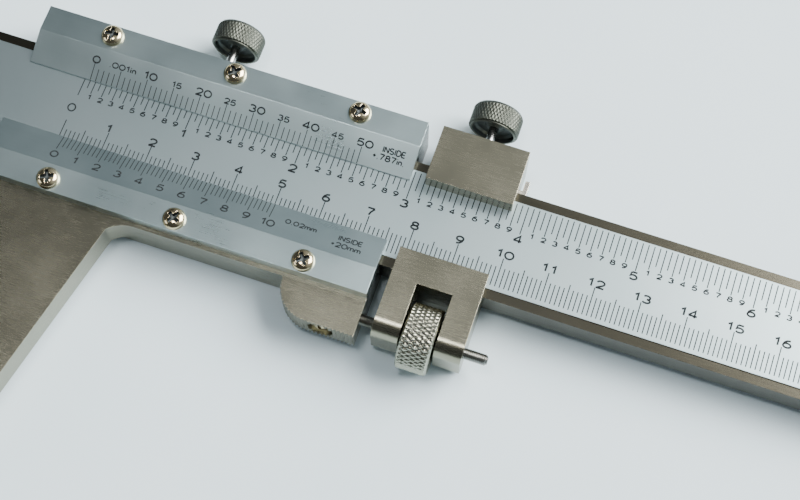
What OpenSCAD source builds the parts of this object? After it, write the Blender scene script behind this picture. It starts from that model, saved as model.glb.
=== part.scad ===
// Long-beam vernier caliper with nib jaws and a fine-adjustment carriage.
// The rest pose has the jaws open by rest_opening, which is what its verniers read.
// Frame: the origin is the centre of the fixed jaw's measuring face, +X runs along the
// beam towards the slider, +Y from the jaw tips to the beam, +Z out of the scale face.
// Inside each module the shapes are drawn from the beam: X from the measuring face,
// Y from the beam's centre line, Z from its scale face, and at_beam() puts them in place.

/* [Beam] */
// Longest size that the jaws measure
measuring_range = 450; // [250:1:600]
// Width of the beam across its two guide edges
beam_w = 24.8; // [20:0.1:32]
// Thickness of the beam
beam_t = 7.2; // [6:0.1:9]
// Width of the lowered border along each edge of the scale face
border_w = 2.1; // [1:0.1:4]
// How far the border lies below the scale face
border_drop = 0.3; // [0.1:0.05:0.8]
// Plain beam past the stop screw
beam_end_margin = 4; // [3:0.5:20]

/* [Jaws] */
// Opening of the jaws in the rest pose
rest_opening = 1.24; // [0.02:0.01:20]
// Reach of the jaws below the beam's lower edge
jaw_depth = 100; // [70:1:150]
// Width of the sliding jaw where it leaves the beam
jaw_root_w = 47.3; // [35:0.1:60]
// Width of the fixed jaw where it leaves the beam
fixed_root_w = 42; // [35:0.1:60]
// Angle of the jaws' outer sides to their measuring faces
jaw_taper = 13; // [8:0.5:16]
// Thickness of both jaws
jaw_t = 7; // [5:0.1:8]
// Width of one nib, half the inside allowance
nib_w = 10; // [5:0.1:12]
// Length of the straight part of a nib
nib_len = 14; // [8:0.5:20]
// Radius of the shoulder above a nib
shoulder_r = 13; // [6:0.5:16]
// Depth and height of the relief at the root of each measuring face
relief = [1.2, 4];
// Diameter of the rivets that hold the fixed jaw to the beam
rivet_d = 4; // [3:0.1:5]

/* [Slider] */
// Distance from the measuring face to the zero of the main scale
scale_zero_x = 28; // [20:0.5:40]
// Plate ahead of the zero lines
plate_lead = 13.1; // [8:0.1:16]
// Length of the two vernier plates
plate_len = 88.7; // [75:0.1:100]
// Thickness of the vernier plates at their outer strips
plate_t = 3; // [2:0.1:4]
// Thickness of the vernier plates at their graduated edges
plate_edge_t = 0.3; // [0.2:0.05:0.6]
// Reach of the upper plate over the beam
upper_reach = 4.9; // [3:0.1:6]
// Reach of the lower plate over the beam
lower_reach = 5.5; // [3:0.1:6]
// Width of the plates outside the beam's edges
plate_rim = 8.1; // [7:0.1:12]
// Start of the bevel, outside the beam's edge
bevel_start = 2.1; // [1:0.1:3]
// Row of plate screws, outside the beam's edge
screw_row = 5.5; // [5:0.1:7]
// Distance between neighbouring plate screws
screw_pitch = 28.9; // [20:0.1:35]
// Distance from the middle of the plates to their middle screws
screw_shift = 0.55; // [-2:0.05:2]
// Wall of the slider above the beam
upper_wall = 7; // [6:0.1:12]
// Wall of the slider below the beam
lower_wall = 9; // [8:0.1:14]
// Wall of the slider behind the beam
back_wall = 2.6; // [1.5:0.1:4]
// Radius between the sliding jaw and the slider
root_r = 8; // [3:0.5:12]
// Thickness of the gibs between the beam and its upper walls
gib_t = 1; // [0.6:0.1:2]
// Height of the gibs across the beam's upper edge
gib_h = 5.4; // [3:0.1:6]
// Distance from the ends of the slider to the ends of its gib
gib_inset = 1.5; // [0.5:0.1:3]
// Diameter of the gib set screws
set_screw_d = 3; // [2:0.1:3.5]
// Distance from the gib set screws to the outer plate screws
set_screw_offset = 6; // [4:0.5:10]

/* [Screws] */
// Thread diameter of the pan-head screws
screw_d = 3; // [2:0.1:3.4]
// Head diameter of the pan-head screws
screw_head_d = 5; // [4:0.1:6]
// Head height of the pan-head screws
screw_head_h = 1.7; // [1:0.1:2.2]
// Length of a plate screw under its head
plate_screw_len = 8; // [6:0.5:9]

/* [Clamp screws] */
// Diameter of the clamp stems
stem_d = 2; // [1.6:0.1:3.4]
// Diameter of the knurled clamp knobs
knob_d = 11.4; // [9:0.1:12]
// Length of the knurled clamp knobs
knob_len = 5.4; // [4:0.1:8]
// Gap between the slider's upper wall and its clamp knob
knob_gap = 5.6; // [3:0.1:8]
// Gap between the carriage's upper wall and its clamp knob
carriage_knob_gap = 5.2; // [3:0.1:8]
// Depth of the recess under a knob
knob_recess = 1.6; // [0.5:0.1:2]
// Distance from the slider's clamp screw to the middle plate screw
clamp_offset = 4; // [3.5:0.1:10]

/* [Finger rest] */
// Width of the finger rest along the beam
rest_w = 18.4; // [16:0.1:24]
// Height of the finger rest below the slider
rest_h = 7.9; // [7:0.1:10]
// Radius of the finger rest's round corner
rest_r = 7.6; // [4:0.1:7.6]
// Depth of its serrations
serration = 0.35; // [0.1:0.05:0.5]
// Number of serrations on the round corner
corner_teeth = 14; // [6:1:20]
// Number of serrations on the straight edge
edge_teeth = 12; // [6:1:20]
// Head diameter of the finger-rest screw
rest_screw_head_d = 5.5; // [4:0.1:6]

/* [Fine adjustment] */
// Length of the carriage along the beam
carriage_len = 19.4; // [17:0.1:26]
// Gap between slider and carriage
carriage_gap = 3.4; // [3.2:0.1:8]
// Height of the carriage's front lips above the scale face
carriage_lip_t = 4; // [2:0.1:5]
// Wall of the carriage behind the beam
carriage_back = 2.1; // [1.5:0.1:4]
// Reach of the carriage's upper lip over the beam
carriage_upper_reach = 4.6; // [2:0.1:6]
// Reach of the carriage's lower lip over the beam
carriage_lower_reach = 3.8; // [2:0.1:6]
// Rounding of the carriage's outer lower edges
nose_r = 3.6; // [2:0.1:5]
// Distance of the threaded rod's axis below the beam's edge
rod_drop = 12.1; // [11.5:0.1:14]
// Diameter of the threaded rod
rod_d = 2.5; // [2:0.1:3]
// Length of the rod held in the finger rest
rod_grip = 5; // [3:0.1:5.4]
// Length of the rod past the carriage
rod_end_len = 5.1; // [4.5:0.1:10]
// Diameter of the pin through the rod
rod_pin_d = 1.2; // [0.8:0.1:1.4]
// Diameter of the knurled adjusting nut
nut_d = 14.4; // [11:0.1:14.6]
// Width of the adjusting nut
nut_w = 6.9; // [4:0.1:8]
// Play between the nut and each side of its slot
nut_play = 0.45; // [0.1:0.05:0.8]
// Clearance between the nut and the bottom of its slot
nut_clear = 2; // [0.5:0.1:2]
// Farthest that the carriage moves away from the slider
fine_out = 4; // [1:0.1:4]
// Length of the carriage gib's bent tail
gib_tail = 1.8; // [1:0.1:3]

/* [Fits] */
// Clearance of sliding faces
glide = 0.03; // [0.02:0.01:0.06]
// Radial clearance of screws, pins and rivets in their holes
screw_play = 0.03; // [0.02:0.01:0.06]
// Radial clearance of the plate screws in the plates
plate_hole_play = 0.1; // [0.05:0.01:0.2]
// Radial clearance of the threaded rod in the carriage
rod_play = 0.08; // [0.02:0.01:0.1]

/* [Hidden] */
$fn = 64;
eps = 0.01;

half_w = beam_w / 2;
beam_z = -beam_t / 2;
frame_top = glide;
cut = 1;
hole_extra = 0.5;

// Slider and its plates
plate_x0 = scale_zero_x - plate_lead;
slider_x1 = plate_x0 + plate_len;
plate_mid_x = (plate_x0 + slider_x1) / 2;
guide_y = half_w + glide;
gib_y1 = guide_y + gib_t;
channel_y1 = gib_y1 + glide;
upper_y = channel_y1 + upper_wall;
lower_y = -(guide_y + lower_wall);
channel_z = -(beam_t + glide);
slider_z0 = channel_z - back_wall;
plate_z1 = frame_top + plate_t;
plate_y = half_w + plate_rim;
row_y = half_w + screw_row;
plate_screw_x = [for (i = [-1:1]) plate_mid_x + screw_shift + i * screw_pitch];
set_screw_x = [plate_screw_x[0] + set_screw_offset, plate_screw_x[2] - set_screw_offset];

// Jaws
tip_y = -(half_w + jaw_depth);
nib_y = tip_y + nib_len;
jaw_z0 = frame_top - jaw_t;
jaw_side_x = jaw_root_w - (lower_wall + glide) * tan(jaw_taper);
face_mid_y = -(half_w + jaw_depth / 2);
face_mid_z = jaw_z0 + jaw_t / 2;

// Fixed jaw and its lap joint
lap_margin = 6;
lap_len = fixed_root_w - relief[0] - glide;
rivet_x = [for (i = [0, 1]) -fixed_root_w + lap_margin + i * (lap_len - 2 * lap_margin)];
rivet_y = half_w - lap_margin;

// Clamp screws
slider_clamp_x = plate_screw_x[1] - clamp_offset;
stem_y0 = gib_y1 + glide;
socket_wall = 1.2;
stem_rest = upper_y + knob_len - socket_wall - stem_y0;

// Finger rest and rod
rest_x0 = slider_x1 - rest_w;
rest_z0 = jaw_z0;
rod_y = -(half_w + rod_drop);
rod_z = (carriage_lip_t + channel_z - carriage_back) / 2;
rod_x0 = slider_x1 - rod_grip;
rest_wall = 1;
rest_tip_gap = 2.5;
rest_screw_x = rod_x0 - screw_d / 2 - rest_wall;
rest_y1 = lower_y - rest_h;
rest_seat = rest_y1 + serration + screw_head_h;
rest_screw_len = -guide_y - rest_tip_gap - rest_seat;
rest_mid_z = (rest_z0 + frame_top) / 2;

// Carriage
carriage_x0 = slider_x1 + carriage_gap;
carriage_x1 = carriage_x0 + carriage_len;
carriage_mid_x = (carriage_x0 + carriage_x1) / 2;
carriage_z0 = channel_z - carriage_back;
nose_y = rod_y - nose_r;
slot_w = nut_w + 2 * nut_play;
slot_wall = 1;
slot_y = min(rod_y + nut_d / 2 + nut_clear, -guide_y - slot_wall);
rod_x1 = carriage_x1 + rod_end_len;

// Beam ends
stop_gap = 0.6;
travel = measuring_range - rest_opening;
stop_x = carriage_x1 + gib_tail + travel + fine_out + stop_gap + screw_head_d / 2;
beam_x1 = stop_x + screw_head_d / 2 + beam_end_margin;
stop_floor = 1.3;
stop_screw_len = beam_t - stop_floor;

// Proportions of the pan heads and their cross recesses
dome_flatness = 1.04;
recess_width = 0.15;
recess_span = 0.56;
recess_share = 0.62;

steel = [0.55, 0.54, 0.49];
satin_chrome = [0.66, 0.71, 0.72];
nickel = [0.80, 0.76, 0.64];
dark_steel = [0.42, 0.43, 0.42];

// Points of an arc in the XY plane
function arc(c, r, a0, a1, steps = 16) =
    [for (i = [0:steps]) let (a = a0 + (a1 - a0) * i / steps) [c[0] + r * cos(a), c[1] + r * sin(a)]];

// X of a jaw's tapered side at height y, for a root of the width given at the beam's edge
function side_x(root, y) = root + (y + half_w) * tan(jaw_taper);

module at_beam() translate([0, -face_mid_y, -face_mid_z]) children();

// A straight bar between two corners
module bar(low, high) translate(low) cube(high - low);

// An outline in the YZ plane, extruded from x0 to x1
module along_x(x0, x1) translate([x0, 0, 0]) rotate([90, 0, 90]) linear_extrude(x1 - x0) children();

// A cylinder along +Y from y0
module rod_along_y(x, z, y0, len, d) translate([x, y0, z]) rotate([-90, 0, 0]) cylinder(d = d, h = len);

// A cylinder along +X from x0
module rod_along_x(y, z, x0, len, d) translate([x0, y, z]) rotate([0, 90, 0]) cylinder(d = d, h = len);

// A pan-head screw with a cross recess, its seat at z = 0 and its head on +Z
module pan_screw(head_d, head_h, d, len) {
    dome_r = (head_d * head_d / 4 + head_h * head_h) / (2 * head_h) * dome_flatness;
    recess_w = head_d * recess_width;
    recess_l = head_d * recess_span;
    recess_depth = head_h * recess_share;
    difference() {
        union() {
            intersection() {
                cylinder(d = head_d, h = head_h);
                translate([0, 0, head_h - dome_r]) sphere(r = dome_r);
            }
            translate([0, 0, -len]) cylinder(d = d, h = len + eps);
        }
        for (turn = [0, 90])
            rotate(turn) translate([-recess_l / 2, -recess_w / 2, head_h - recess_depth])
                cube([recess_l, recess_w, head_h]);
    }
}

// The blade of a jaw on the +X side of its measuring face, from y_top down
module jaw_blade(root, y_top) {
    shoulder_y = nib_y + shoulder_r;
    blade = concat(
        [[0, nib_y], [0, y_top - relief[1]], [relief[0], y_top - relief[1]], [relief[0], y_top]],
        [[side_x(root, y_top), y_top], [side_x(root, shoulder_y), shoulder_y]],
        arc([nib_w + shoulder_r, nib_y], shoulder_r, 90, 180)
    );
    translate([0, 0, jaw_z0]) linear_extrude(jaw_t) polygon(blade);
    intersection() {
        bar([0, tip_y, jaw_z0], [nib_w, nib_y + eps, jaw_z0 + jaw_t]);
        rod_along_y(0, jaw_z0 + jaw_t / 2, tip_y, nib_len + eps, 2 * nib_w);
    }
}

module main_beam() color(satin_chrome) at_beam() difference() {
    bar([-fixed_root_w, -half_w, -beam_t], [beam_x1, half_w, 0]);
    for (side = [-1, 1])
        translate([-fixed_root_w - eps, side * (half_w - border_w / 2) - (border_w / 2 + eps), -border_drop])
            cube([beam_x1 + fixed_root_w + 2 * eps, border_w + 2 * eps, border_drop + eps]);
    bar([-fixed_root_w - eps, -half_w - eps, -beam_t - eps], [-relief[0], half_w + eps, beam_z]);
    for (x = rivet_x, y = [-rivet_y, rivet_y])
        translate([x, y, -beam_t]) cylinder(d = rivet_d + 2 * screw_play, h = beam_t + eps);
    translate([stop_x, 0, -beam_t - eps])
        cylinder(d = screw_d + 2 * screw_play, h = stop_screw_len + 2 * eps);
}

module fixed_jaw() color(steel) at_beam() difference() {
    union() {
        mirror([1, 0, 0]) jaw_blade(fixed_root_w, -guide_y);
        bar([-fixed_root_w, -half_w, -beam_t], [-relief[0] - glide, half_w, beam_z]);
        bar([-fixed_root_w, -guide_y - eps, jaw_z0], [-relief[0] - glide, -half_w + eps, beam_z]);
    }
    for (x = rivet_x, y = [-rivet_y, rivet_y])
        translate([x, y, -beam_t - eps]) cylinder(d = rivet_d + 2 * screw_play, h = beam_t);
}

module jaw_rivets() color(steel) at_beam()
    for (x = rivet_x, y = [-rivet_y, rivet_y])
        translate([x, y, -beam_t]) cylinder(d = rivet_d, h = beam_t);

module end_stop_screw() color(nickel) at_beam()
    translate([stop_x, 0, -beam_t]) mirror([0, 0, 1])
        pan_screw(screw_head_d, screw_head_h, screw_d, stop_screw_len);

module slider_body() color(steel) at_beam() difference() {
    union() {
        translate([rest_opening, 0, 0]) jaw_blade(jaw_root_w, -guide_y);
        jaw_root();
        bar([plate_x0, lower_y, slider_z0], [slider_x1, upper_y, frame_top]);
    }
    bar([plate_x0 - eps, -guide_y, channel_z], [slider_x1 + eps, channel_y1, frame_top + eps]);
    for (x = plate_screw_x, y = [-row_y, row_y])
        translate([x, y, plate_z1 - plate_screw_len - hole_extra])
            cylinder(d = screw_d + 2 * screw_play, h = plate_screw_len + hole_extra);
    rod_along_y(slider_clamp_x, beam_z, gib_y1, upper_y, stem_d + 2 * screw_play);
    for (x = set_screw_x)
        rod_along_y(x, beam_z, gib_y1, upper_y, set_screw_d + 2 * screw_play);
    rod_along_y(rest_screw_x, rest_mid_z, rest_seat, rest_screw_len + hole_extra, screw_d + 2 * screw_play);
}

// The fillet between the sliding jaw's side and the slider's lower edge
module jaw_root() {
    fillet_s = root_r * (1 - sin(jaw_taper)) / cos(jaw_taper);
    centre = [jaw_side_x + root_r * cos(jaw_taper) - fillet_s * sin(jaw_taper), lower_y - root_r];
    web = concat(
        [[relief[0] + rest_opening, -guide_y], [centre[0], -guide_y]],
        arc(centre, root_r, 90, 180 - jaw_taper),
        [[relief[0] + rest_opening, centre[1]]]
    );
    translate([0, 0, jaw_z0]) linear_extrude(jaw_t) polygon(web);
}

// A vernier plate on the +Y side of the beam
module vernier_plate(reach) difference() {
    along_x(plate_x0, slider_x1) polygon([
        [half_w - reach, frame_top], [plate_y, frame_top], [plate_y, plate_z1],
        [half_w + bevel_start, plate_z1], [half_w - reach, frame_top + plate_edge_t]
    ]);
    for (x = plate_screw_x)
        translate([x, row_y, 0])
            cylinder(d = screw_d + 2 * plate_hole_play, h = plate_z1 + eps);
}

module upper_vernier_plate() color(satin_chrome) at_beam() vernier_plate(upper_reach);

module lower_vernier_plate() color(satin_chrome) at_beam() mirror([0, 1, 0]) vernier_plate(lower_reach);

module plate_screws(y) color(nickel) at_beam()
    for (i = [0:2])
        translate([plate_screw_x[i], y, plate_z1])
            rotate(35 * i - 15) pan_screw(screw_head_d, screw_head_h, screw_d, plate_screw_len);

module upper_plate_screws() plate_screws(row_y);

module lower_plate_screws() plate_screws(-row_y);

module slider_gib() color(steel) at_beam()
    bar([plate_x0 + gib_inset, guide_y, beam_z - gib_h / 2],
        [slider_x1 - gib_inset, gib_y1, beam_z + gib_h / 2]);

// Headless screws with a slot, flush with the slider's upper wall
module gib_set_screws() color(dark_steel) at_beam()
    for (x = set_screw_x) {
        slot_t = set_screw_d * 0.2;
        slot_depth = 0.8;
        set_len = upper_wall - 2 * hole_extra;
        difference() {
            rod_along_y(x, beam_z, stem_y0, set_len, set_screw_d);
            bar([x - set_screw_d, stem_y0 + set_len - slot_depth, beam_z - slot_t / 2],
                [x + set_screw_d, upper_y, beam_z + slot_t / 2]);
        }
    }

// The plain stem of a clamp screw, from the back of its gib
module clamp_stem(x, gap) color(dark_steel) at_beam()
    rod_along_y(x, beam_z, stem_y0, stem_rest + gap, stem_d);

// A knob with a recessed underside and a domed outer face, bored for its stem
module clamp_knob(x, gap) color(dark_steel) at_beam()
    translate([x, upper_y + gap, beam_z]) rotate([-90, 0, 0]) {
    knob_r = knob_d / 2;
    rim = 0.9;
    edge = 0.5;
    bore_r = stem_d / 2 + screw_play;
    bore_top = knob_len - socket_wall + glide;
    rotate_extrude() polygon([
        [bore_r, knob_recess], [knob_r - rim - edge, knob_recess], [knob_r - rim - edge, 0],
        [knob_r - edge, 0], [knob_r, edge], [knob_r, knob_len - edge], [knob_r - edge, knob_len - edge / 4],
        [0, knob_len], [0, bore_top], [bore_r, bore_top]
    ]);
}

module slider_clamp_stem() clamp_stem(slider_clamp_x, knob_gap);

module slider_clamp_knob() clamp_knob(slider_clamp_x, knob_gap);

// Outline of the finger rest: a serrated round corner and a serrated edge
module rest_outline() {
    corner = [rest_x0 + rest_r, rest_y1 + rest_r];
    edge_len = slider_x1 - corner[0];
    round_pts = [for (i = [0:2 * corner_teeth]) let (a = 180 + 90 * i / (2 * corner_teeth),
        r = rest_r - (i % 2) * serration) [corner[0] + r * cos(a), corner[1] + r * sin(a)]];
    edge_pts = [for (i = [1:2 * edge_teeth])
        [corner[0] + edge_len * i / (2 * edge_teeth), rest_y1 + (i % 2) * serration]];
    polygon(concat([[rest_x0, lower_y]], round_pts, edge_pts, [[slider_x1, lower_y]]));
}

module finger_rest() color(steel) at_beam() difference() {
    translate([0, 0, rest_z0]) linear_extrude(frame_top - rest_z0) rest_outline();
    rod_along_y(rest_screw_x, rest_mid_z, rest_y1 - eps, rest_h + 2 * eps, screw_d + 2 * screw_play);
    rod_along_y(rest_screw_x, rest_mid_z, rest_y1 - cut, rest_seat - rest_y1 + cut,
        rest_screw_head_d + 2 * plate_hole_play);
    rod_along_x(rod_y, rod_z, rod_x0 - glide, rod_grip + cut, rod_d + 2 * screw_play);
    translate([rod_x0 + rod_grip / 2, rod_y, rest_z0 - eps])
        cylinder(d = rod_pin_d + 2 * screw_play, h = rod_z + rod_d / 2 - rest_z0 + hole_extra);
}

module finger_rest_screw() color(nickel) at_beam()
    translate([rest_screw_x, rest_seat, rest_mid_z]) rotate([90, 0, 0]) rotate(15)
        pan_screw(rest_screw_head_d, screw_head_h, screw_d, rest_screw_len);

module fine_adjust_rod() color(dark_steel) at_beam() difference() {
    tip = 0.5;
    union() {
        rod_along_x(rod_y, rod_z, rod_x0, rod_x1 - rod_x0 - tip, rod_d);
        translate([rod_x1 - tip, rod_y, rod_z]) rotate([0, 90, 0])
            cylinder(d1 = rod_d, d2 = rod_d - 2 * tip, h = tip);
    }
    translate([rod_x0 + rod_grip / 2, rod_y, rod_z - rod_d])
        cylinder(d = rod_pin_d + 2 * screw_play, h = 2 * rod_d);
}

module rod_pin() color(steel) at_beam()
    translate([rod_x0 + rod_grip / 2, rod_y, rest_z0])
        cylinder(d = rod_pin_d, h = rod_z + rod_d / 2 - rest_z0);

module carriage_body() color(steel) at_beam() difference() {
    union() {
        bar([carriage_x0, rod_y, carriage_z0], [carriage_x1, upper_y, carriage_lip_t]);
        bar([carriage_x0, nose_y, carriage_z0 + nose_r],
            [carriage_x1, rod_y + eps, carriage_lip_t - nose_r]);
        for (z = [carriage_z0 + nose_r, carriage_lip_t - nose_r])
            rod_along_x(rod_y, z, carriage_x0, carriage_len, 2 * nose_r);
    }
    bar([carriage_x0 - eps, -guide_y, channel_z], [carriage_x1 + eps, channel_y1, frame_top]);
    bar([carriage_x0 - eps, -half_w + carriage_lower_reach, frame_top - eps],
        [carriage_x1 + eps, half_w - carriage_upper_reach, carriage_lip_t + eps]);
    bar([carriage_mid_x - slot_w / 2, nose_y - cut, carriage_z0 - cut],
        [carriage_mid_x + slot_w / 2, slot_y, carriage_lip_t + cut]);
    rod_along_x(rod_y, rod_z, carriage_x0 - cut, carriage_len + 2 * cut, rod_d + 2 * rod_play);
    rod_along_y(carriage_mid_x, beam_z, gib_y1, upper_y, stem_d + 2 * screw_play);
}

// The carriage gib, with a tail bent up outside the carriage
module carriage_gib() color(nickel) at_beam() {
    tail_h = 3.4;
    bar([carriage_x0, guide_y, beam_z - gib_h / 2], [carriage_x1 + gib_tail, gib_y1, beam_z + gib_h / 2]);
    bar([carriage_x1 + gib_tail - gib_t, gib_y1 - eps, beam_z - gib_h / 2],
        [carriage_x1 + gib_tail, guide_y + tail_h, beam_z + gib_h / 2]);
}

module carriage_clamp_stem() clamp_stem(carriage_mid_x, carriage_knob_gap);

module carriage_clamp_knob() clamp_knob(carriage_mid_x, carriage_knob_gap);

module fine_adjust_nut() color(nickel) at_beam()
    translate([carriage_mid_x - nut_w / 2, rod_y, rod_z]) rotate([0, 90, 0]) {
        nut_r = nut_d / 2;
        edge = 0.5;
        bore_r = rod_d / 2 + screw_play;
        rotate_extrude() polygon([
            [bore_r, 0], [nut_r - edge, 0], [nut_r, edge], [nut_r, nut_w - edge],
            [nut_r - edge, nut_w], [bore_r, nut_w]
        ]);
    }

main_beam();
fixed_jaw();
jaw_rivets();
end_stop_screw();
slider_body();
upper_vernier_plate();
lower_vernier_plate();
upper_plate_screws();
lower_plate_screws();
slider_gib();
gib_set_screws();
slider_clamp_stem();
slider_clamp_knob();
finger_rest();
finger_rest_screw();
fine_adjust_rod();
rod_pin();
carriage_body();
carriage_gib();
carriage_clamp_stem();
carriage_clamp_knob();
fine_adjust_nut();
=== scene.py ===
"""Vernier caliper: materials, graduations, knurls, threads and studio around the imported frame."""
import math

import bpy
from mathutils import Matrix, Vector


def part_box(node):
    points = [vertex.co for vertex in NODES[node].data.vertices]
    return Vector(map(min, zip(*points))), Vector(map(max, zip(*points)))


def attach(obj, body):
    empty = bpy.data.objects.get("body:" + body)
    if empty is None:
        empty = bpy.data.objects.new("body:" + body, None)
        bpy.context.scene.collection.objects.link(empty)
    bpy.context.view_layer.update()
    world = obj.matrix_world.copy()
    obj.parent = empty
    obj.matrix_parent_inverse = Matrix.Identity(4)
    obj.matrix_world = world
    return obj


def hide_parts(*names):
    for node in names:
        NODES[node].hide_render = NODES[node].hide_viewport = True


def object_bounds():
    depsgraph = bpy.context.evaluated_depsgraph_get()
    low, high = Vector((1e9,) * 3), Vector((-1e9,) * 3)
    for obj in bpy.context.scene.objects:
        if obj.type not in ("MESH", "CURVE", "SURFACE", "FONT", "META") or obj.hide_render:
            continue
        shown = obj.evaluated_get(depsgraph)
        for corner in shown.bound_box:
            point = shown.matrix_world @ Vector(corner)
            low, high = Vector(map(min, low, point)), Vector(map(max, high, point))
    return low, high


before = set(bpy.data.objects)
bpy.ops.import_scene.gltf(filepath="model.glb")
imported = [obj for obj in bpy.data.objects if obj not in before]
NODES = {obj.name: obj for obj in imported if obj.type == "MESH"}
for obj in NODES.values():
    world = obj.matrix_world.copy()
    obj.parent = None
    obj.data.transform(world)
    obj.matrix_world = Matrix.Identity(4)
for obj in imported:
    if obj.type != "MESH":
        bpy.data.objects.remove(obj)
cad_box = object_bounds()

MM = 0.001
TURN = 2 * math.pi


# ---------------------------------------------------------------- places that come from the CAD

def low(node):
    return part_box(node)[0] / MM


def high(node):
    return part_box(node)[1] / MM


PLATE_LEAD = 13.1  # plate ahead of the main scale's zero
UPPER_REACH = 4.9  # reach of each vernier plate over the beam
LOWER_REACH = 5.5
PLATE_EDGE = 0.3  # thickness of a plate's graduated edge
PLATE_BEND = 2.1  # the bevel starts this far outside the beam's edge
PLATE_T = 3.0
GLIDE = 0.03

beam_low, beam_high = low("main_beam"), high("main_beam")
face_z = beam_high.z
beam_edge = beam_low.y  # graduation heights are counted from the beam's lower edge
beam_w = beam_high.y - beam_low.y
scale_zero = low("upper_vernier_plate").x + PLATE_LEAD
opening = low("slider_body").x
vernier_zero = scale_zero + opening
plate_z = high("upper_vernier_plate").z


# ---------------------------------------------------------------- camera

CAMERA_PLACE = Vector((140.64, -42.78, 291.47)) * MM
LOOK_AT = Vector((106.70, 54.30, 3.47)) * MM
ROLL = math.radians(-0.48)
SENSOR = 36.0
LENS = 65.16
CLIP_START = 0.01

camera = bpy.data.objects.new("camera", bpy.data.cameras.new("camera"))
bpy.context.scene.collection.objects.link(camera)
bpy.context.scene.camera = camera
camera.data.sensor_width = SENSOR
camera.data.lens = LENS
camera.data.clip_start = CLIP_START
aim = (LOOK_AT - CAMERA_PLACE).to_track_quat("-Z", "Y").to_matrix().to_4x4()
camera.matrix_world = Matrix.Translation(CAMERA_PLACE) @ aim @ Matrix.Rotation(ROLL, 4, "Z")


# ---------------------------------------------------------------- materials

ALONG_X = (0.012, 1.0, 1.0)  # how noise is stretched into brush marks
ALONG_Y = (1.0, 0.012, 1.0)
EVEN = (1.0, 1.0, 1.0)
EDGE_ROUND = 0.12
EDGE_GAIN = 4.0


def rgba(colour):
    return (*colour[:3], 1.0)


def scaled(colour, share):
    return [min(1.0, channel * share) for channel in colour]


def add_node(tree, kind, inputs=None, **properties):
    """A shader node with its properties set and its inputs linked or given values."""
    made = tree.nodes.new(kind)
    for key, value in properties.items():
        setattr(made, key, value)
    for key, value in (inputs or {}).items():
        if isinstance(value, bpy.types.NodeSocket):
            tree.links.new(value, made.inputs[key])
        else:
            made.inputs[key].default_value = value
    return made


class Shader:
    """A node material with a few short calls to wire it."""

    def __init__(self, name, **values):
        self.mat = bpy.data.materials.new(name)
        self.mat.use_nodes = True
        self.tree = self.mat.node_tree
        self.bsdf = self.tree.nodes["Principled BSDF"]
        self.coords = self.node("ShaderNodeTexCoord").outputs["Object"]
        for key, value in values.items():
            self.bsdf.inputs[key.replace("_", " ")].default_value = value

    def node(self, kind, inputs=None, **properties):
        return add_node(self.tree, kind, inputs, **properties)

    def noise(self, density, stretch=EVEN, detail=3.0, rough=0.55):
        """Noise over the piece; density counts its features per millimetre."""
        mapped = self.node("ShaderNodeMapping", {
            "Vector": self.coords, "Scale": [share * density / MM for share in stretch]
        })
        return self.node("ShaderNodeTexNoise", {
            "Vector": mapped.outputs[0], "Scale": 1.0, "Detail": detail, "Roughness": rough
        }).outputs["Fac"]

    def spread(self, value, low_end, high_end, start=0.3, end=0.7):
        """A value from start to end, spread from the low end to the high end."""
        return self.node("ShaderNodeMapRange", {
            "Value": value, "From Min": start, "From Max": end, "To Min": low_end, "To Max": high_end
        }).outputs[0]

    def mix(self, share, first, second):
        """A colour between two, each a plain colour or a socket."""
        ends = [end if isinstance(end, bpy.types.NodeSocket) else rgba(end) for end in (first, second)]
        return self.node("ShaderNodeMix", {0: share, 6: ends[0], 7: ends[1]}, data_type="RGBA").outputs[2]

    def mix_values(self, share, first, second):
        return self.node("ShaderNodeMix", {0: share, 2: first, 3: second}, data_type="FLOAT").outputs[0]

    def maths(self, operation, first, second):
        return self.node("ShaderNodeMath", {0: first, 1: second}, operation=operation).outputs[0]

    def rounded(self, radius):
        """The surface's direction, as if its edges were rounded."""
        return self.node("ShaderNodeBevel", {"Radius": radius * MM}, samples=4).outputs[0]

    def edges(self, radius):
        """1 on the piece's edges, 0 on its faces."""
        flat = self.node("ShaderNodeNewGeometry").outputs["Normal"]
        bend = self.node("ShaderNodeVectorMath", {0: self.rounded(radius), 1: flat}, operation="DOT_PRODUCT")
        return self.spread(bend.outputs["Value"], 0.0, 1.0, 1.0, 1.0 - 1.0 / EDGE_GAIN)

    def set(self, key, socket):
        self.tree.links.new(socket, self.bsdf.inputs[key])

    def bump(self, height, distance):
        """Fine relief over slightly rounded edges."""
        self.set("Normal", self.node("ShaderNodeBump", {
            "Height": height, "Distance": distance * MM, "Strength": 1.0, "Normal": self.rounded(EDGE_ROUND)
        }).outputs[0])


CLOUDS = 0.06  # noise densities
STAINS = 0.9
FINE_MARKS = 2.7  # against the brush marks
MARK_TONE = 0.75  # shares of a metal's own tones
STAIN_TONE = 0.8
# lighter edges: real wear together with a painted edge highlight
WEAR_AND_HIGHLIGHT_TONE = 1.35
# painted shade in the knurls' hollows, as a share of the darker tone
GROOVE_SHADE_TONE = 0.12
WEAR_AND_HIGHLIGHT_REACH = 0.16
UNEVEN = 0.03  # slow change of the roughness


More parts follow.
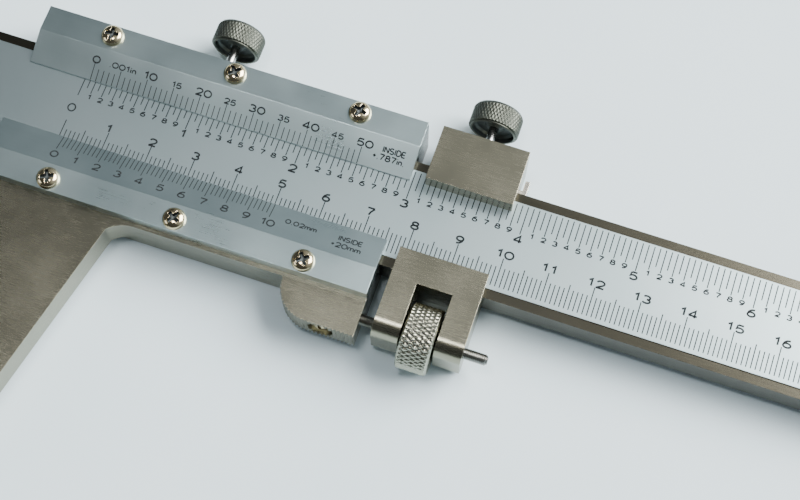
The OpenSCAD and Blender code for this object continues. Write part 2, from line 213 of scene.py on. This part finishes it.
def metal(name, colour, shade, rough, brush, relief, spots=0.35, streaks=0.4, groove_shading=0.0,
          shaded_end=None, end_shade=0.18):
    """Bare or plated metal: two tones, brush marks, stains, edges lightened by wear and a painted highlight,
    painted shade in knurl hollows and on the end face.
    rough is the roughness's range, and brush the density and direction of the marks."""
    s = Shader(name, Metallic=1.0)
    density, direction = brush
    marks = s.noise(density, direction, 4.0, 0.6)
    fine = s.noise(density * FINE_MARKS, direction, 2.0, 0.6)
    cloud = s.noise(CLOUDS, detail=4.0)
    stain = s.noise(STAINS, detail=5.0, rough=0.7)
    tone = s.mix(s.spread(cloud, 0.0, 1.0), shade, colour)
    tone = s.mix(s.spread(marks, 0.0, streaks), tone, scaled(colour, MARK_TONE))
    tone = s.mix(s.spread(stain, 0.0, spots, 0.55, 0.8), tone, scaled(shade, STAIN_TONE))
    # edges made lighter: wear and a painted highlight on the rounded edges
    tone = s.mix(s.edges(WEAR_AND_HIGHLIGHT_REACH), tone, scaled(colour, WEAR_AND_HIGHLIGHT_TONE))
    # painted shade: darkens the knurls' hollows found from the pointiness
    if groove_shading:
        hollow = s.node("ShaderNodeNewGeometry").outputs["Pointiness"]
        tone = s.mix(s.spread(hollow, groove_shading, 0.0, 0.44, 0.51), tone, scaled(shade, GROOVE_SHADE_TONE))
    # painted shade on the end face, standing in for the shadow and dark reflection in the gap at the
    # carriage
    if shaded_end:
        across = s.node("ShaderNodeSeparateXYZ", {0: s.coords}).outputs[0]
        at_end = s.maths("GREATER_THAN", across, (shaded_end - GLIDE) * MM)
        tone = s.mix(at_end, tone, scaled(shade, end_shade))
    s.set("Base Color", tone)
    s.set("Roughness", s.maths("ADD", s.spread(fine, *rough), s.spread(cloud, -UNEVEN, UNEVEN)))
    s.bump(s.maths("ADD", marks, fine), relief)
    return s


GROUND = (0.32, 0.303, 0.228)
GROUND_SHADE = (0.27, 0.257, 0.193)
LONG_BRUSH = (9.0, ALONG_X)
KNURL_DIRT = (4.0, EVEN)

ground = metal("ground_steel", GROUND, GROUND_SHADE, (0.22, 0.30), LONG_BRUSH, 0.0012)
# the slider's end face gets painted shade
slider_steel = metal("slider_steel", GROUND, GROUND_SHADE, (0.22, 0.30), LONG_BRUSH, 0.0012,
                     shaded_end=high("slider_body").x)
block = metal("carriage_steel", (0.315, 0.30, 0.225), (0.27, 0.257, 0.19), (0.21, 0.29), LONG_BRUSH, 0.0012)
# the plates' end faces get painted shade
plate = metal("plate_chrome", (0.45, 0.55, 0.56), (0.40, 0.50, 0.51), (0.29, 0.31), (2.5, ALONG_X), 0.0002,
              spots=0.1, streaks=0.12, shaded_end=high("upper_vernier_plate").x, end_shade=0.45)
nickel = metal("nickel_screws", (0.66, 0.56, 0.36), (0.56, 0.46, 0.28), (0.08, 0.15), (3.0, EVEN), 0.0008)
spring = metal("spring_steel", (0.72, 0.68, 0.60), (0.62, 0.58, 0.50), (0.20, 0.30), (6.0, ALONG_X), 0.0015)
dark = metal("dark_steel", (0.24, 0.24, 0.22), (0.17, 0.17, 0.16), (0.20, 0.32), (5.0, EVEN), 0.0015)
stem = metal("stem_steel", (0.56, 0.56, 0.54), (0.46, 0.46, 0.44), (0.18, 0.28), (6.0, ALONG_Y), 0.0012)
# knurled knob and nut: painted shade in the hollows of their knurls
knob_steel = metal("knurled_steel", (0.115, 0.123, 0.103), (0.085, 0.092, 0.077), (0.34, 0.46), KNURL_DIRT,
                   0.0015, groove_shading=0.75)
# painted shade: a dark material on the knobs' hollow undersides and the screws' cross recesses
recess_shade_steel = metal("recess_shade_steel", (0.10, 0.11, 0.11), (0.06, 0.07, 0.07), (0.40, 0.55), KNURL_DIRT,
                     0.0015)
nut_steel = metal("knurled_bright", (0.44, 0.44, 0.35), (0.35, 0.35, 0.28), (0.20, 0.29), KNURL_DIRT, 0.0015,
                  groove_shading=0.5)

FACE_SKIN = 0.1  # the satin face is what lies above this depth


def scale_chrome():
    """Satin chrome on the scale face, ground steel on the borders, edges and back."""
    s = Shader("scale_chrome", Metallic=1.0)
    height = s.node("ShaderNodeSeparateXYZ", {0: s.coords}).outputs[2]
    face = s.maths("GREATER_THAN", height, (face_z - FACE_SKIN) * MM)
    cloud = s.noise(0.05, detail=4.0)
    grain = s.noise(14.0, detail=2.0)
    marks = s.noise(6.0, ALONG_X, 4.0, 0.6)
    chrome = s.mix(s.spread(cloud, 0.0, 1.0), (0.365, 0.45, 0.465), (0.40, 0.485, 0.50))
    chrome = s.mix(s.spread(grain, 0.0, 0.25), chrome, (0.32, 0.39, 0.405))
    steel = s.mix(s.spread(cloud, 0.0, 1.0), (0.100, 0.093, 0.069), (0.130, 0.121, 0.091))
    steel = s.mix(s.spread(marks, 0.0, 0.6), steel, (0.078, 0.073, 0.055))
    tone = s.mix(face, steel, chrome)
    # painted highlight and wear on the beam's rounded edges
    s.set("Base Color", s.mix(s.edges(EDGE_ROUND), tone, (0.34, 0.34, 0.29)))
    s.set("Roughness", s.mix_values(face, s.spread(marks, 0.18, 0.26), s.spread(grain, 0.33, 0.39)))
    s.bump(s.maths("ADD", marks, grain), 0.0006)
    return s


def ink():
    """Matt black filling of the graduations, a little dusty."""
    s = Shader("graduation_ink", Specular_IOR_Level=0.06)
    dust = s.noise(3.0, detail=3.0)
    s.set("Base Color", s.mix(s.spread(dust, 0.0, 1.0), (0.012, 0.015, 0.016), (0.028, 0.032, 0.034)))
    s.set("Roughness", s.spread(dust, 0.45, 0.65))
    return s


beam_finish = scale_chrome()
mark_ink = ink()

FINISHES = {
    "main_beam": beam_finish, "fixed_jaw": ground, "jaw_rivets": ground, "end_stop_screw": nickel,
    "slider_body": slider_steel, "upper_vernier_plate": plate, "lower_vernier_plate": plate,
    "slider_gib": spring, "gib_set_screws": dark, "slider_clamp_stem": stem, "carriage_clamp_stem": stem,
    "finger_rest": block, "finger_rest_screw": nickel, "rod_pin": ground,
    "carriage_body": block, "carriage_gib": spring,
}
for name, finish in FINISHES.items():
    for slot in NODES[name].material_slots:
        slot.material = finish.mat


# ---------------------------------------------------------------- building meshes

def piece(name, verts, faces, finish, body, smooth=None, hollow=()):
    """A mesh object in row-frame millimetres that rides on a body. The faces numbered in hollow get painted
    shade.
    """
    mesh = bpy.data.meshes.new(name)
    mesh.from_pydata([Vector(v) * MM for v in verts], [], faces)
    mesh.validate()
    if smooth is not None:
        mesh.polygons.foreach_set("use_smooth", [True] * len(mesh.polygons))
        mesh.set_sharp_from_angle(angle=math.radians(smooth))
    mesh.materials.append(finish.mat)
    # painted shade on the faces numbered in hollow
    if hollow:
        mesh.materials.append(recess_shade_steel.mat)
        mesh.polygons.foreach_set("material_index", [int(i in hollow) for i in range(len(mesh.polygons))])
    obj = bpy.data.objects.new(name, mesh)
    bpy.context.scene.collection.objects.link(obj)
    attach(obj, body)
    return obj


def turned(name, origin, axis, side, profile, columns, finish, body, smooth=30.0, hollow=0):
    """A turned piece. profile is a list of (distance along the axis, radius or function of the angle), which
    starts and ends on the axis, or comes back to its start around a bore. side is where the angle starts,
    and the first hollow rings of faces get painted shade."""
    origin, axis, side = Vector(origin), Vector(axis), Vector(side)
    third = axis.cross(side)
    bored = profile[0] == profile[-1]
    rings = profile[:-1] if bored else profile[1:-1]
    verts, faces = [], []
    for along, radius in rings:
        for j in range(columns):
            angle = TURN * j / columns
            reach = radius(angle) if callable(radius) else radius
            verts.append(origin + axis * along + (side * math.cos(angle) + third * math.sin(angle)) * reach)
    for i in range(len(rings) if bored else len(rings) - 1):
        a, b = i * columns, (i + 1) % len(rings) * columns
        for j in range(columns):
            k = (j + 1) % columns
            faces.append((a + j, a + k, b + k, b + j))
    if not bored:
        verts += [origin + axis * profile[0][0], origin + axis * profile[-1][0]]
        tail = (len(rings) - 1) * columns
        for j in range(columns):
            k = (j + 1) % columns
            faces.append((len(verts) - 2, k, j))
            faces.append((len(verts) - 1, tail + j, tail + k))
    return piece(name, verts, faces, finish, body, smooth, range(hollow * columns))


KNURL_FLAT = 1.1  # above 1, the ridges have flat tops
THREAD_FLAT = 1.15


def knurl(radius, depth, count, pitch, along):
    """Radius of a diamond knurl at a distance along the axis, as a function of the angle."""
    def at(angle):
        u, v = angle * count / TURN, along / pitch
        ridges = [1.0 - abs(2.0 * ((u + slant * v) % 1.0) - 1.0) for slant in (0.5, -0.5)]
        return radius - depth * (1.0 - min(min(ridges) * KNURL_FLAT, 1.0))
    return at


def knurled_band(start, end, radius, depth, count, rows):
    """The part of a turned piece's profile that is knurled, with diamonds as long as they are wide."""
    pitch = TURN * radius / count
    return [(start + (end - start) * i / rows, knurl(radius, depth, count, pitch, (end - start) * i / rows))
            for i in range(rows + 1)]


# ---------------------------------------------------------------- clamp knobs

KNOB_COUNT = 48
KNOB_ROWS = 44
KNOB_COLUMNS = 8  # for each ridge
KNOB_DEPTH = 0.17
KNOB_EDGE = 0.5  # plain band under the knurling
KNOB_STEP = 0.3
KNOB_RIM = 0.45  # rim around the hollow underside
KNOB_HOLLOW = 1.6
KNOB_ROUND = 0.8  # rounding of the outer end
KNOB_ROUND_STEPS = 6
KNOB_DOME = KNOB_EDGE / 8
KNOB_DOME_STEPS = 8
HUB_START = 1.0
BORE_PLAY = 0.03
KNURL_SMOOTH = 28.0


def clamp_knob(which):
    """A knurled knob with a hollow underside, a hub around its stem and a slightly domed end."""
    lo, hi = low(which + "_knob"), high(which + "_knob")
    stem_lo, stem_hi = low(which + "_stem"), high(which + "_stem")
    radius, length = (hi.x - lo.x) / 2, hi.y - lo.y
    bore = (stem_hi.x - stem_lo.x) / 2 + BORE_PLAY
    top = stem_hi.y - lo.y + BORE_PLAY
    inner = radius - KNOB_RIM - KNOB_EDGE
    outer = inner + KNOB_RIM
    hub = [(top, 0.0), (top, bore), (HUB_START, bore), (HUB_START - 0.1, bore + 0.3),
           (KNOB_HOLLOW, bore + 1.2), (KNOB_HOLLOW, inner - 0.6), (KNOB_HOLLOW - 0.5, inner - 0.15),
           (0.1, inner)]
    rim = [(0.0, inner + 0.1), (0.0, outer - 0.1), (0.1, outer), (KNOB_STEP, outer),
           (KNOB_STEP + 0.05, radius - KNOB_DEPTH)]
    profile = hub + rim
    profile += knurled_band(KNOB_EDGE, length - KNOB_ROUND, radius, KNOB_DEPTH, KNOB_COUNT, KNOB_ROWS)
    shoulder, root = length - KNOB_DOME, radius - KNOB_DEPTH
    for i in range(1, KNOB_ROUND_STEPS + 1):
        angle = math.pi / 2 * i / KNOB_ROUND_STEPS
        back, inward = KNOB_ROUND * (1 - math.sin(angle)), KNOB_ROUND * (1 - math.cos(angle))
        profile.append((shoulder - back, root - inward))
    for i in range(1, KNOB_DOME_STEPS + 1):
        share = 1 - i / KNOB_DOME_STEPS
        profile.append((length - KNOB_DOME * share ** 2, (root - KNOB_ROUND) * share))
    centre = ((lo.x + hi.x) / 2, lo.y, (lo.z + hi.z) / 2)
    # the rings of the hollow underside get painted shade
    knob = turned(which + "_knurled_knob", centre, (0, 1, 0), (0, 0, 1), profile, KNOB_COUNT * KNOB_COLUMNS,
                  knob_steel, which + "_knob", KNURL_SMOOTH, len(hub) - 2)
    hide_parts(which + "_knob")


clamp_knob("slider_clamp")
clamp_knob("carriage_clamp")


# ---------------------------------------------------------------- adjusting nut

NUT_COUNT = 44
NUT_ROWS = 60
NUT_COLUMNS = 9  # for each ridge
NUT_DEPTH = 0.22
NUT_EDGE = 0.45  # chamfer at each end of the knurling
NUT_RECESS = 1.6


def adjusting_nut():
    """The knurled nut around the threaded rod."""
    lo, hi = low("fine_adjust_nut"), high("fine_adjust_nut")
    radius, width = (hi.y - lo.y) / 2, hi.x - lo.x
    bore = (high("fine_adjust_rod").y - low("fine_adjust_rod").y) / 2 + BORE_PLAY
    rim = radius - NUT_EDGE
    end = [(width / 2, bore), (0.25, bore), (0.0, bore + 0.3), (0.0, radius - NUT_RECESS), (0.0, rim - 0.15),
           (0.1, rim)]
    other_end = [(width - along, reach) for along, reach in reversed(end)]
    band = knurled_band(NUT_EDGE, width - NUT_EDGE, radius, NUT_DEPTH, NUT_COUNT, NUT_ROWS)
    centre = (lo.x, (lo.y + hi.y) / 2, (lo.z + hi.z) / 2)
    nut = turned("knurled_adjusting_nut", centre, (1, 0, 0), (0, 0, 1), end + band + other_end,
                 NUT_COUNT * NUT_COLUMNS, nut_steel, "adjusting_nut", KNURL_SMOOTH)
    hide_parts("fine_adjust_nut")


adjusting_nut()


# ---------------------------------------------------------------- threaded rod

THREAD_PITCH = 0.45
THREAD_DEPTH = 0.17
THREAD_STEPS = 8  # along each turn
THREAD_COLUMNS = 32
ROD_TIP = 0.5  # length of the tapered tip
ROD_TAPER = 0.9
PLAIN_END = 0.4  # the thread starts this far from the plain part


def threaded_rod():
    """The rod: plain inside the finger rest, threaded from the slider's end on."""
    lo, hi = low("fine_adjust_rod"), high("fine_adjust_rod")
    radius, length = (hi.y - lo.y) / 2, hi.x - lo.x
    start = high("slider_body").x - lo.x

    def thread(along):
        def at(angle):
            ridge = 1.0 - abs(2.0 * ((along / THREAD_PITCH - angle / TURN) % 1.0) - 1.0)
            crest = radius - max(0.0, along - (length - ROD_TIP)) * ROD_TAPER
            return crest - THREAD_DEPTH * (1.0 - min(1.0, ridge * THREAD_FLAT))
        return at

    profile = [(0.0, 0.0), (0.0, radius - 0.1), (0.1, radius), (start - PLAIN_END, radius)]
    rows = int((length - start) / THREAD_PITCH * THREAD_STEPS)
    for i in range(rows + 1):
        along = start + (length - start) * i / rows
        profile.append((along, thread(along)))
    profile.append((length, 0.0))
    origin = (lo.x, (lo.y + hi.y) / 2, (lo.z + hi.z) / 2)
    rod = turned("threaded_rod", origin, (1, 0, 0), (0, 1, 0), profile, THREAD_COLUMNS,
                 dark, "slider")
    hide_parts("fine_adjust_rod")


threaded_rod()


# ---------------------------------------------------------------- pan-head screws

SCREW_COLUMNS = 192
SCREW_RINGS = 56
SCREW_SMOOTH = 42.0
HEAD_EDGE = 0.18  # straight side under a screw's dome
SHANK = 1.5
SHANK_SHARE = 0.58  # of the head's radius
RECESS_WALL = 0.07
SCREW_SPINS = {"upper": (0.10, 0.72, 1.25), "lower": (0.45, 1.05, 0.62)}


def recess_at(x, y, radius):
    """How far inside the cross recess a point of the head is, below zero outside it."""
    arm_w, arm_l, hub = 0.15 * radius, 0.58 * radius, 0.27 * radius
    arms = max(min(arm_w - abs(y), arm_l - abs(x)), min(arm_w - abs(x), arm_l - abs(y)))
    return max(arms, hub - math.hypot(x, y))


def screw_height(x, y, radius, height):
    """Height of a pan head with a cross recess, above its straight side."""
    share = min(1.0, math.hypot(x, y) / radius)
    dome = height * (1.0 - share ** 3.2) ** 0.5
    wall = RECESS_WALL * radius
    inside = recess_at(x, y, radius)
    if inside <= -wall * 0.5:
        return dome
    slope = min(1.0, max(0.0, (inside + wall * 0.5) / (wall * 1.5)))
    deep = height * (0.80 - 0.35 * math.hypot(x, y) / radius)
    return dome - deep * slope * slope * (3 - 2 * slope)


def pan_screw(name, node, centre, spin, radius, height):
    """A pan-head screw that stands on a plate, its cross recess turned by spin. It stands in for a node."""
    verts, faces, hollow = [], [], set()
    angles = [TURN * j / SCREW_COLUMNS for j in range(SCREW_COLUMNS)]

    def add_ring(reach, height_at):
        for angle in angles:
            out = (reach * math.cos(angle + spin), reach * math.sin(angle + spin), height_at(angle))
            verts.append(Vector(centre) + Vector(out))

    def head_height(reach, angle):
        spot = (reach * math.cos(angle), reach * math.sin(angle))
        return HEAD_EDGE + screw_height(*spot, radius, height - HEAD_EDGE)

    reaches = [radius * math.sin(math.pi / 2 * (i / SCREW_RINGS) ** 0.85) for i in range(1, SCREW_RINGS + 1)]
    for reach in reaches:
        add_ring(reach, lambda angle: head_height(reach, angle))
    under = [(0.0, radius - 0.08), (0.0, radius * SHANK_SHARE), (-SHANK, radius * SHANK_SHARE)]
    for depth, reach in under:
        add_ring(reach, lambda angle: depth)
    rows = len(reaches) + len(under)
    for i in range(rows - 1):
        a, b = i * SCREW_COLUMNS, (i + 1) * SCREW_COLUMNS
        for j, angle in enumerate(angles):
            k = (j + 1) % SCREW_COLUMNS
            on_head = i < SCREW_RINGS
            # faces inside the cross recess get painted shade
            if on_head and recess_at(reaches[i] * math.cos(angle), reaches[i] * math.sin(angle), radius) > 0:
                hollow.add(len(faces))
            faces.append((a + j, b + j, b + k, a + k))
    verts += [Vector(centre) + Vector((0, 0, head_height(0.0, 0.0))), Vector(centre) - Vector((0, 0, SHANK))]
    tail = (rows - 1) * SCREW_COLUMNS
    # the fan at the middle of the recess also gets painted shade
    for j in range(SCREW_COLUMNS):
        k = (j + 1) % SCREW_COLUMNS
        hollow.add(len(faces))
        faces.append((len(verts) - 2, j, k))
        faces.append((len(verts) - 1, tail + k, tail + j))
    head = piece(name, verts, faces, nickel, "slider", SCREW_SMOOTH, hollow)
    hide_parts(node)


def plate_screws(which):
    """The row of screws of the upper or lower plate."""
    node = which + "_plate_screws"
    lo, hi = low(node), high(node)
    radius, row_y = (hi.y - lo.y) / 2, (lo.y + hi.y) / 2
    row_x = (lo.x + radius, (lo.x + hi.x) / 2, hi.x - radius)
    for number, (x, spin) in enumerate(zip(row_x, SCREW_SPINS[which]), 1):
        pan_screw(f"{which}_plate_screw_{number}", node, (x, row_y, plate_z), spin, radius, hi.z - plate_z)


plate_screws("upper")
plate_screws("lower")


# ---------------------------------------------------------------- graduations

def arc(cx, cy, rx, ry, start, end, steps=10):
    """Points of an elliptic arc, from one angle to another in degrees."""
    angles = [math.radians(start + (end - start) * i / steps) for i in range(steps + 1)]
    return [(cx + rx * math.cos(angle), cy + ry * math.sin(angle)) for angle in angles]


# Each sign is its width and its strokes, in heights
SIGNS = {
    "0": (0.95, [arc(0.475, 0.5, 0.475, 0.5, 90, 450, 20)]),
    "1": (0.50, [[(0.02, 0.76), (0.36, 0.98), (0.36, 0.0)]]),
    "2": (0.90, [arc(0.45, 0.70, 0.42, 0.30, 170, -20, 9) + [(0.70, 0.42), (0.06, 0.0)],
                 [(0.0, 0.0), (0.90, 0.0)]]),
    "3": (0.90, [arc(0.42, 0.74, 0.38, 0.26, 150, -78, 9), arc(0.42, 0.27, 0.44, 0.27, 85, -150, 11)]),
    "4": (0.95, [[(0.68, 0.0), (0.68, 1.0), (0.0, 0.26)], [(0.0, 0.26), (0.95, 0.26)]]),
    "5": (0.90, [[(0.80, 1.0), (0.18, 1.0)],
                 [(0.18, 1.0), (0.08, 0.50)] + arc(0.42, 0.31, 0.44, 0.31, 128, -145, 12)]),
    "6": (0.90, [arc(0.45, 0.30, 0.42, 0.30, 90, 450, 16),
                 [(0.04, 0.34), (0.16, 0.68), (0.42, 0.92), (0.78, 0.99)]]),
    "7": (0.90, [[(0.0, 1.0), (0.88, 1.0)], [(0.88, 1.0), (0.50, 0.45), (0.34, 0.0)]]),
    "8": (0.90, [arc(0.45, 0.76, 0.35, 0.24, 90, 450, 14), arc(0.45, 0.27, 0.43, 0.27, 90, 450, 16)]),
    "9": (0.90, [arc(0.45, 0.70, 0.42, 0.30, 90, 450, 16),
                 [(0.86, 0.66), (0.74, 0.32), (0.48, 0.08), (0.12, 0.01)]]),
    ".": (0.22, [[(0.05, 0.0), (0.17, 0.0)]]),
    "+": (0.60, [[(0.0, 0.45), (0.56, 0.45)], [(0.28, 0.17), (0.28, 0.73)]]),
    "m": (1.02, [[(0.0, 0.0), (0.0, 0.66)], arc(0.25, 0.42, 0.25, 0.24, 180, 0, 8) + [(0.50, 0.0)],
                 arc(0.75, 0.42, 0.25, 0.24, 180, 0, 8) + [(1.00, 0.0)]]),
    "n": (0.55, [[(0.0, 0.0), (0.0, 0.66)], arc(0.27, 0.40, 0.27, 0.26, 180, 0, 8) + [(0.54, 0.0)]]),
    "i": (0.12, [[(0.05, 0.0), (0.05, 0.66)], [(0.05, 0.84), (0.05, 0.98)]]),
    "I": (0.14, [[(0.07, 0.0), (0.07, 1.0)]]),
    "N": (0.76, [[(0.0, 0.0), (0.0, 1.0)], [(0.0, 1.0), (0.76, 0.0)], [(0.76, 0.0), (0.76, 1.0)]]),
    "S": (0.78, [arc(0.39, 0.745, 0.36, 0.255, 30, 270, 10) + arc(0.39, 0.25, 0.38, 0.25, 80, -150, 10)]),
    "D": (0.80, [[(0.0, 0.0), (0.0, 1.0)],
                 [(0.0, 1.0)] + arc(0.34, 0.5, 0.46, 0.5, 90, -90, 12) + [(0.0, 0.0)]]),
    "E": (0.66, [[(0.0, 0.0), (0.0, 1.0)], [(0.0, 1.0), (0.66, 1.0)], [(0.0, 0.5), (0.58, 0.5)],
                 [(0.0, 0.0), (0.66, 0.0)]]),
    " ": (0.30, []),
}
SIGN_GAP = 0.24
LIFT = 0.006  # height of the filled marks above their surface
SINK = 0.010  # their depth below it
SAME = 1e-6  # points closer than this are one


class Marks:
    """Filled marks on a surface, which rises(y) above the scale face's own height."""

    def __init__(self, zero_x, rises):
        self.zero_x, self.rises, self.verts, self.faces = zero_x, rises, [], []

    def at(self, x, y, lift):
        return (self.zero_x + x, beam_edge + y, face_z + self.rises(y) + lift)

    def stroke(self, points, width):
        """A thin ribbon along points on the surface, closed where they come back to their start."""
        spots = [Vector(p) for p in points]
        loop = (spots[0] - spots[-1]).length < SAME and len(spots) > 2
        if loop:
            spots = spots[:-1]
        count, first = len(spots), len(self.verts)
        for i, spot in enumerate(spots):
            before = spots[i - 1] if i or loop else spot
            after = spots[(i + 1) % count] if i < count - 1 or loop else spot
            leave = (after - spot).normalized()
            arrive = (spot - before).normalized() if (spot - before).length else leave
            leave = leave if leave.length else arrive
            along = (arrive + leave).normalized() if (arrive + leave).length > SAME else arrive
            out = Vector((-along.y, along.x))
            reach = width / 2 / max(0.5, out.dot(Vector((-arrive.y, arrive.x))))
            for side in (1, -1):
                corner = spot + out * reach * side
                for lift in (LIFT, -SINK):
                    self.verts.append(self.at(corner.x, corner.y, lift))
        for i in range(count if loop else count - 1):
            a, b = first + 4 * i, first + 4 * ((i + 1) % count)
            self.faces += [(a, a + 2, b + 2, b), (a + 1, b + 1, b + 3, a + 3),
                           (a, b, b + 1, a + 1), (a + 2, a + 3, b + 3, b + 2)]
        if not loop:
            a, b = first, first + 4 * (count - 1)
            self.faces += [(a, a + 1, a + 3, a + 2), (b, b + 2, b + 3, b + 1)]

    def line(self, x, y0, y1, width):
        self.stroke([(x, y0), (x, y1)], width)

    def text(self, words, x, y, height, pen, wide=1.0):
        """Signs centred on x, with their middle at y."""
        total = sum(SIGNS[sign][0] for sign in words) + SIGN_GAP * (len(words) - 1)
        left = x - total * height * wide / 2
        for sign in words:
            width, strokes = SIGNS[sign]
            for points in strokes:
                self.stroke([(left + px * height * wide, y + (py - 0.5) * height) for px, py in points], pen)
            left += (width + SIGN_GAP) * height * wide


LINE_W = 0.19
MAIN_LINE_W = 0.23
PEN = 0.34
SMALL_PEN = 0.28
MAIN_PEN = 0.42
SMALL_MAIN_PEN = 0.30
INCH = 25.4
METRIC_END = 500
INCH_END = 19

# Heights of the lines' ends above the beam's lower edge, for each step of the lines' numbers
METRIC_FOOT = 3.0
METRIC_TOPS = ((10, 9.5), (5, 8.4), (1, 7.4))
INCH_LOWS = ((20, 15.75), (2, 16.95), (1, 18.0))
INCH_TOP = 22.3
UPPER_TOPS = ((5, 23.45), (1, 22.5))
LOWER_LOWS = ((5, 1.9), (1, 2.75))
EDGE_MARGIN = 0.06  # vernier lines stop this far from a plate's edge
TENS_AT, UNITS_AT = -1.15, 0.95  # places of a pair's digits from their line


def graded(number, heights):
    """The height for a line's number, from the longest step that it is a multiple of."""
    return next(height for step, height in heights if number % step == 0)


def main_scale_marks():
    """Millimetres along the beam's lower side and twentieths of an inch along its upper side."""
    marks = Marks(scale_zero, lambda y: 0.0)
    for i in range(METRIC_END + 1):
        marks.line(i, METRIC_FOOT, graded(i, METRIC_TOPS), MAIN_LINE_W)
    marks.text("0", -0.1, 12.6, 1.75, PEN)
    for cm in range(1, METRIC_END // 10 + 1):
        x = cm * 10
        if cm < 10:
            marks.text(str(cm), x - (0.35 if cm == 1 else 0.05), 10.5, 1.6, MAIN_PEN, 1.1)
        else:
            units_at = UNITS_AT - (0.2 if cm % 10 == 1 else 0.0)
            marks.text(str(cm // 10), x + TENS_AT, 10.45, 1.6, MAIN_PEN, 1.2)
            marks.text(str(cm % 10), x + units_at, 10.45, 1.6, MAIN_PEN, 1.2)
    for i in range(INCH_END * 20 + 1):
        x = i * INCH / 20
        marks.line(x, graded(i, INCH_LOWS), INCH_TOP, MAIN_LINE_W)
        if i % 20 == 0 and i:
            marks.text(str(i // 20), x - 0.05, 14.6, 1.6, MAIN_PEN, 1.15)
        elif i % 2 == 0 and i:
            marks.text(str(i // 2 % 10), x + 0.05, 16.1, 1.0, SMALL_MAIN_PEN, 1.15)
    piece("main_scale_marks", marks.verts, marks.faces, mark_ink, "frame")


VERNIER_STEPS = 50
INCH_STEP = 49 * INCH / 20 / VERNIER_STEPS
METRIC_STEP = 49 / VERNIER_STEPS
BEVEL_RISE = PLATE_T - PLATE_EDGE


def upper_bevel(y):
    start = beam_w - UPPER_REACH
    return GLIDE + PLATE_EDGE + BEVEL_RISE * (y - start) / (UPPER_REACH + PLATE_BEND)


def lower_bevel(y):
    return GLIDE + PLATE_EDGE + BEVEL_RISE * (LOWER_REACH - y) / (LOWER_REACH + PLATE_BEND)


def upper_vernier_marks():
    """Thousandths of an inch on the upper plate's bevel."""
    marks = Marks(vernier_zero, upper_bevel)
    edge = beam_w - UPPER_REACH + EDGE_MARGIN
    for i in range(VERNIER_STEPS + 1):
        x = i * INCH_STEP
        marks.line(x, edge, graded(i, UPPER_TOPS), LINE_W)
        if i % 10 == 0:
            marks.text(str(i), x + (0.5 if i else 0.1), 24.3, 1.35, PEN, 1.25)
        elif i % 5 == 0 and i != 5:
            marks.text(str(i), x + 0.5, 24.15, 1.05, SMALL_PEN, 1.2)
    marks.text(".001in", 5 * INCH_STEP + 0.15, 24.25, 1.05, SMALL_PEN, 1.3)
    marks.text("INSIDE", 69.35, 24.3, 1.1, SMALL_PEN, 1.02)
    marks.text("+.787in.", 68.6, 22.65, 1.1, SMALL_PEN, 1.05)
    piece("upper_vernier_marks", marks.verts, marks.faces, mark_ink, "slider")


def lower_vernier_marks():
    """Fiftieths of a millimetre on the lower plate's bevel."""
    marks = Marks(vernier_zero, lower_bevel)
    edge = LOWER_REACH - EDGE_MARGIN
    for i in range(VERNIER_STEPS + 1):
        x = i * METRIC_STEP
        marks.line(x, graded(i, LOWER_LOWS), edge, LINE_W)
        if i % 5 == 0:
            marks.text(str(i // 5), x + 0.25, 0.5, 1.5, PEN, 1.12)
    marks.text("0.02mm", 56.1, 2.25, 1.0, SMALL_PEN, 1.1)
    marks.text("INSIDE", 67.15, 2.3, 1.1, SMALL_PEN, 1.05)
    marks.text("+20mm", 66.75, 0.5, 1.1, SMALL_PEN, 1.08)
    piece("lower_vernier_marks", marks.verts, marks.faces, mark_ink, "slider")


main_scale_marks()
upper_vernier_marks()
lower_vernier_marks()


# ---------------------------------------------------------------- floor, light and air

FLOOR_SIZE = 16.0
WALL_GLOW = {"From Min": 0.25, "From Max": 1.0, "To Min": 0.10, "To Max": 0.95}
BRIGHT_SIDE = (0.72, 0.55, 0.42)  # the window side of the room
AIR_COLOUR = (0.82, 0.90, 0.96)
MIDDLE = (0.107, 0.054, 0.0)  # where the lights point

floor_mesh = bpy.data.meshes.new("floor")
half, floor_z = FLOOR_SIZE / 2, cad_box[0][2]
corners = [(-half, -half, floor_z), (half, -half, floor_z), (half, half, floor_z), (-half, half, floor_z)]
floor_mesh.from_pydata(corners, [], [(0, 1, 2, 3)])
floor = bpy.data.objects.new("floor", floor_mesh)
bpy.context.scene.collection.objects.link(floor)
paper = Shader("paper")
mottle = paper.noise(0.02, detail=3.0)
paper.set("Base Color", paper.mix(paper.spread(mottle, 0.0, 1.0), (0.61, 0.735, 0.79), (0.65, 0.77, 0.82)))
paper.set("Roughness", paper.spread(mottle, 0.75, 0.85))
floor_mesh.materials.append(paper.mat)


def panel(name, place, size, power, colour):
    """A soft rectangular studio light that points at the middle."""
    light = bpy.data.lights.new(name, "AREA")
    light.shape = "RECTANGLE"
    light.size, light.size_y = size
    light.energy = power
    light.color = colour
    obj = bpy.data.objects.new(name, light)
    bpy.context.scene.collection.objects.link(obj)
    turn = (Vector(MIDDLE) - Vector(place)).to_track_quat("-Z", "Y")
    obj.matrix_world = Matrix.Translation(place) @ turn.to_matrix().to_4x4()


panel("key", (1.05, 0.75, 1.10), (1.2, 1.2), 94.0, (1.0, 0.99, 0.97))
panel("lamp", (-0.04, 0.01, 1.05), (0.20, 0.22), 3.4, (1.0, 1.0, 1.0))
panel("fill", (-1.5, -0.9, 0.9), (0.9, 0.9), 6.0, (0.92, 0.97, 1.0))

world = bpy.data.worlds.new("studio")
bpy.context.scene.world = world
world.use_nodes = True
tree = world.node_tree
air = tree.nodes["Background"]
air.inputs["Color"].default_value = rgba(AIR_COLOUR)
toward = add_node(tree, "ShaderNodeTexCoord").outputs["Generated"]
facing = add_node(tree, "ShaderNodeVectorMath", {0: toward, 1: BRIGHT_SIDE}, operation="DOT_PRODUCT")
glow = add_node(tree, "ShaderNodeMapRange", {"Value": facing.outputs["Value"], **WALL_GLOW})
tree.links.new(glow.outputs[0], air.inputs["Strength"])
